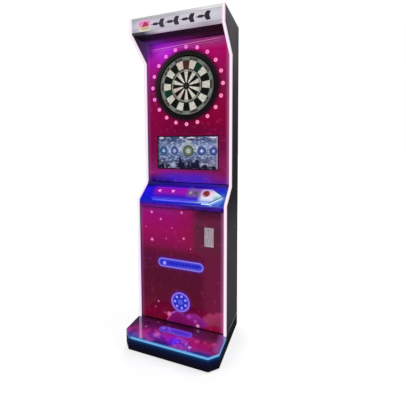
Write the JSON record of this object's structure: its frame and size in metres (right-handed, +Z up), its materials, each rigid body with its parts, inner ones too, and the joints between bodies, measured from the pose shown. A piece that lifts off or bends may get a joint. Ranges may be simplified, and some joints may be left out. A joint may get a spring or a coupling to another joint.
{
  "type": "electronic dartboard cabinet",
  "caption": "Upright arcade cabinet with an electronic dartboard, lit number ring, display, sloped button deck, hinged front and rear doors and a lit standing platform.",
  "frame": {"origin": "on the floor, at the middle of the platform's base", "axes": "+Z up; -Y towards the player; +X to the player's right"},
  "size_m": [0.65, 0.5, 2.15],
  "materials": {
    "side_laminate": "fine grained black laminate",
    "edge_light": "lit white diffuser",
    "plinth_black": "black painted board",
    "platform_gloss": "dark mirror-gloss sheet",
    "platform_glow": "lit cyan diffuser",
    "foot_rubber": "matte",
    "header_metal": "satin",
    "marquee_white": "lit printed sheet",
    "lamp": "lit diffuser",
    "black_board": "black painted board",
    "deck_blue": "glossy printed sheet",
    "console_print": "glossy printed sheet",
    "console_glow": "lit diffuser",
    "fascia_glow": "lit diffuser",
    "upper_print": "glossy printed sheet",
    "lower_print": "glossy printed sheet",
    "ring_black": "satin moulded",
    "segment_plastic": "moulded, cream and black by turns",
    "score_ring_plastic": "moulded, red and green by turns",
    "spider_grey": "moulded",
    "bull_green": "moulded",
    "bull_red": "moulded",
    "number_glow": "lit number caps",
    "display_picture": "lit display",
    "steel": "brushed",
    "arrow_pink": "lit cap",
    "button_light_green": "lit cap",
    "button_dark_green": "cap",
    "button_red": "domed cap",
    "switch_black": "moulded",
    "badge_glow": "lit lens",
    "grille_glow": "perforated",
    "circuit_green": "circuit board"
  },
  "bodies": {
    "cabinet": {"side_panel_left": "side_laminate", "side_panel_right": "side_laminate", "edge_lights": "edge_light", "plinth_frame": "plinth_black", "platform_cover": "platform_gloss", "platform_light": "platform_glow", "foot_pads": "foot_rubber", "marquee_rails": "header_metal", "marquee_panel": "marquee_white", "marquee_lamp": "lamp", "top_panel": "black_board", "soffit_panel": "black_board", "shelves": "black_board", "cross_rails": "black_board", "back_panel": "black_board", "deck_panel": "deck_blue", "console_plate": "console_print", "console_light": "console_glow", "fascia_panel": "fascia_glow", "door_hardware": "steel", "panel_screws": "steel", "power_supply": "steel", "switch_bodies": "switch_black", "power_inlet": "switch_black", "fan_housing": "switch_black", "control_board": "circuit_green"},
    "upper_door": {"upper_sheet": "upper_print", "upper_baffle": "black_board", "catch_ring": "ring_black", "sensor_plate": "ring_black", "single_segments": "segment_plastic", "triple_segments": "score_ring_plastic", "double_segments": "score_ring_plastic", "spider_web": "spider_grey", "number_lights": "number_glow", "display_housing": "ring_black", "display_glass": "display_picture"},
    "lower_door": {"lower_sheet": "lower_print", "lower_baffle": "black_board", "coin_plate": "steel", "coin_mechanism": "switch_black", "badge_lens": "badge_glow", "speaker_grille": "grille_glow", "speaker_driver": "switch_black"},
    "rear_door": {"rear_door": "black_board"},
    "outer_bull": {"outer_bull": "bull_green"},
    "inner_bull": {"inner_bull": "bull_red"},
    "upper_bolt": {"upper_bolt": "steel"},
    "lower_bolt": {"lower_bolt": "steel"},
    "reject_button": {"reject_button": "button_red"},
    "rear_lock": {"rear_lock": "steel"},
    "fan_rotor": {"fan_rotor": "switch_black"},
    "left_arrow_button": {"left_arrow_button": "arrow_pink"},
    "down_arrow_button": {"down_arrow_button": "arrow_pink"},
    "select_button": {"select_button": "button_light_green"},
    "back_button": {"back_button": "button_dark_green"},
    "start_button": {"start_button": "button_red"},
    "power_rocker": {"power_rocker": "switch_black"},
    "key_switch": {"key_switch": "steel"},
    "cash_box": {"cash_box": "steel"}
  },
  "joints": [
    {"name": "upper_door_swing", "type": "hinge", "parent": "cabinet", "child": "upper_door", "pos_m": [-0.291, 0.097, 1.55], "axis": [0, 0, -1], "range_deg": [0, 90]},
    {"name": "lower_door_swing", "type": "hinge", "parent": "cabinet", "child": "lower_door", "pos_m": [-0.291, -0.023, 0.5], "axis": [0, 0, -1], "range_deg": [0, 90]},
    {"name": "rear_door_swing", "type": "hinge", "parent": "cabinet", "child": "rear_door", "pos_m": [0.291, 0.238, 0.54], "axis": [0, 0, -1], "range_deg": [0, 100]},
    {"name": "rear_lock_turn", "type": "hinge", "parent": "rear_door", "child": "rear_lock", "pos_m": [-0.268, 0.238, 0.56], "axis": [0, 1, 0], "range_deg": [0, 90]},
    {"name": "upper_bolt_slide", "type": "slide", "parent": "upper_door", "child": "upper_bolt", "axis": [1, 0, 0], "range_m": [0, 0.01]},
    {"name": "lower_bolt_slide", "type": "slide", "parent": "lower_door", "child": "lower_bolt", "axis": [1, 0, 0], "range_m": [0, 0.01]},
    {"name": "fan_spin", "type": "hinge", "parent": "cabinet", "child": "fan_rotor", "pos_m": [0, 0.22, 1.88], "axis": [0, 1, 0], "continuous": true},
    {"name": "power_rocker_tip", "type": "hinge", "parent": "cabinet", "child": "power_rocker", "pos_m": [0.3185, 0.095, 0.75], "axis": [0, 1, 0], "range_deg": [-8, 8]},
    {"name": "key_switch_turn", "type": "hinge", "parent": "cabinet", "child": "key_switch", "pos_m": [0.315, 0.17, 0.765], "axis": [1, 0, 0], "range_deg": [0, 90]},
    {"name": "cash_box_lift", "type": "slide", "parent": "cabinet", "child": "cash_box", "axis": [0, 0, 1], "range_m": [0, 0.15]},
    {"name": "reject_press", "type": "slide", "parent": "lower_door", "child": "reject_button", "axis": [0, 1, 0], "range_m": [0, 0.004], "stiffness_N_per_m": 400, "springref_m": -0.002},
    {"name": "outer_bull_press", "type": "slide", "parent": "upper_door", "child": "outer_bull", "axis": [0, 1, 0], "range_m": [0, 0.0015], "stiffness_N_per_m": 2000, "springref_m": -0.0005},
    {"name": "inner_bull_press", "type": "slide", "parent": "upper_door", "child": "inner_bull", "axis": [0, 1, 0], "range_m": [0, 0.0015], "stiffness_N_per_m": 2000, "springref_m": -0.0005},
    {"name": "left_arrow_press", "type": "slide", "parent": "cabinet", "child": "left_arrow_button", "axis": [0, 0.6549, -0.7557], "range_m": [0, 0.003], "stiffness_N_per_m": 800, "springref_m": -0.0015},
    {"name": "down_arrow_press", "type": "slide", "parent": "cabinet", "child": "down_arrow_button", "axis": [0, 0.6549, -0.7557], "range_m": [0, 0.003], "stiffness_N_per_m": 800, "springref_m": -0.0015},
    {"name": "select_press", "type": "slide", "parent": "cabinet", "child": "select_button", "axis": [0, 0.6549, -0.7557], "range_m": [0, 0.003], "stiffness_N_per_m": 800, "springref_m": -0.0015},
    {"name": "back_press", "type": "slide", "parent": "cabinet", "child": "back_button", "axis": [0, 0.6549, -0.7557], "range_m": [0, 0.003], "stiffness_N_per_m": 800, "springref_m": -0.0015},
    {"name": "start_press", "type": "slide", "parent": "cabinet", "child": "start_button", "axis": [0, 0.6549, -0.7557], "range_m": [0, 0.003], "stiffness_N_per_m": 800, "springref_m": -0.0015}
  ]
}
